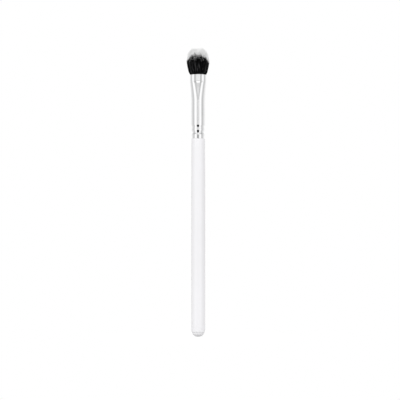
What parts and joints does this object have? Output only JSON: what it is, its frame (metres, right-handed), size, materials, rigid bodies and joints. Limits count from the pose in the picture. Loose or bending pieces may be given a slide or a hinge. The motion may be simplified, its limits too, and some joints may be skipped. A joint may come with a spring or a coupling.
{
  "type": "eyeshadow brush",
  "caption": "Slim make-up brush with a straight round handle, a metal ferrule pressed to an oval mouth, and a short flared, domed tuft with dark roots and pale tips.",
  "frame": {"origin": "on the brush's axis at the butt end of the handle, the lowest point when the brush stands on it", "axes": "+Z along the axis from the butt to the tips of the fibres, X along the width of the flattened mouth, Y through its thickness; the pictured face looks to -Y"},
  "size_m": [0.0133, 0.0082, 0.17],
  "materials": {
    "handle": "white gloss moulding",
    "plug": "white gloss moulding",
    "ferrule": "polished nickel plating",
    "adhesive": "cured adhesive",
    "epoxy": "cured amber epoxy",
    "thread": "twisted polyester thread",
    "dark_fibre": "dyed synthetic filament",
    "pale_fibre": "undyed synthetic filament, slightly see-through"
  },
  "bodies": {
    "root": {"handle_body": "handle", "end_plug": "plug", "ferrule": "ferrule", "neck_adhesive": "adhesive", "root_epoxy": "epoxy", "binding_thread": "thread", "fibre_core": "dark_fibre", "black_fibre_locks": "dark_fibre", "white_fibre_locks": "pale_fibre"}
  },
  "joints": []
}
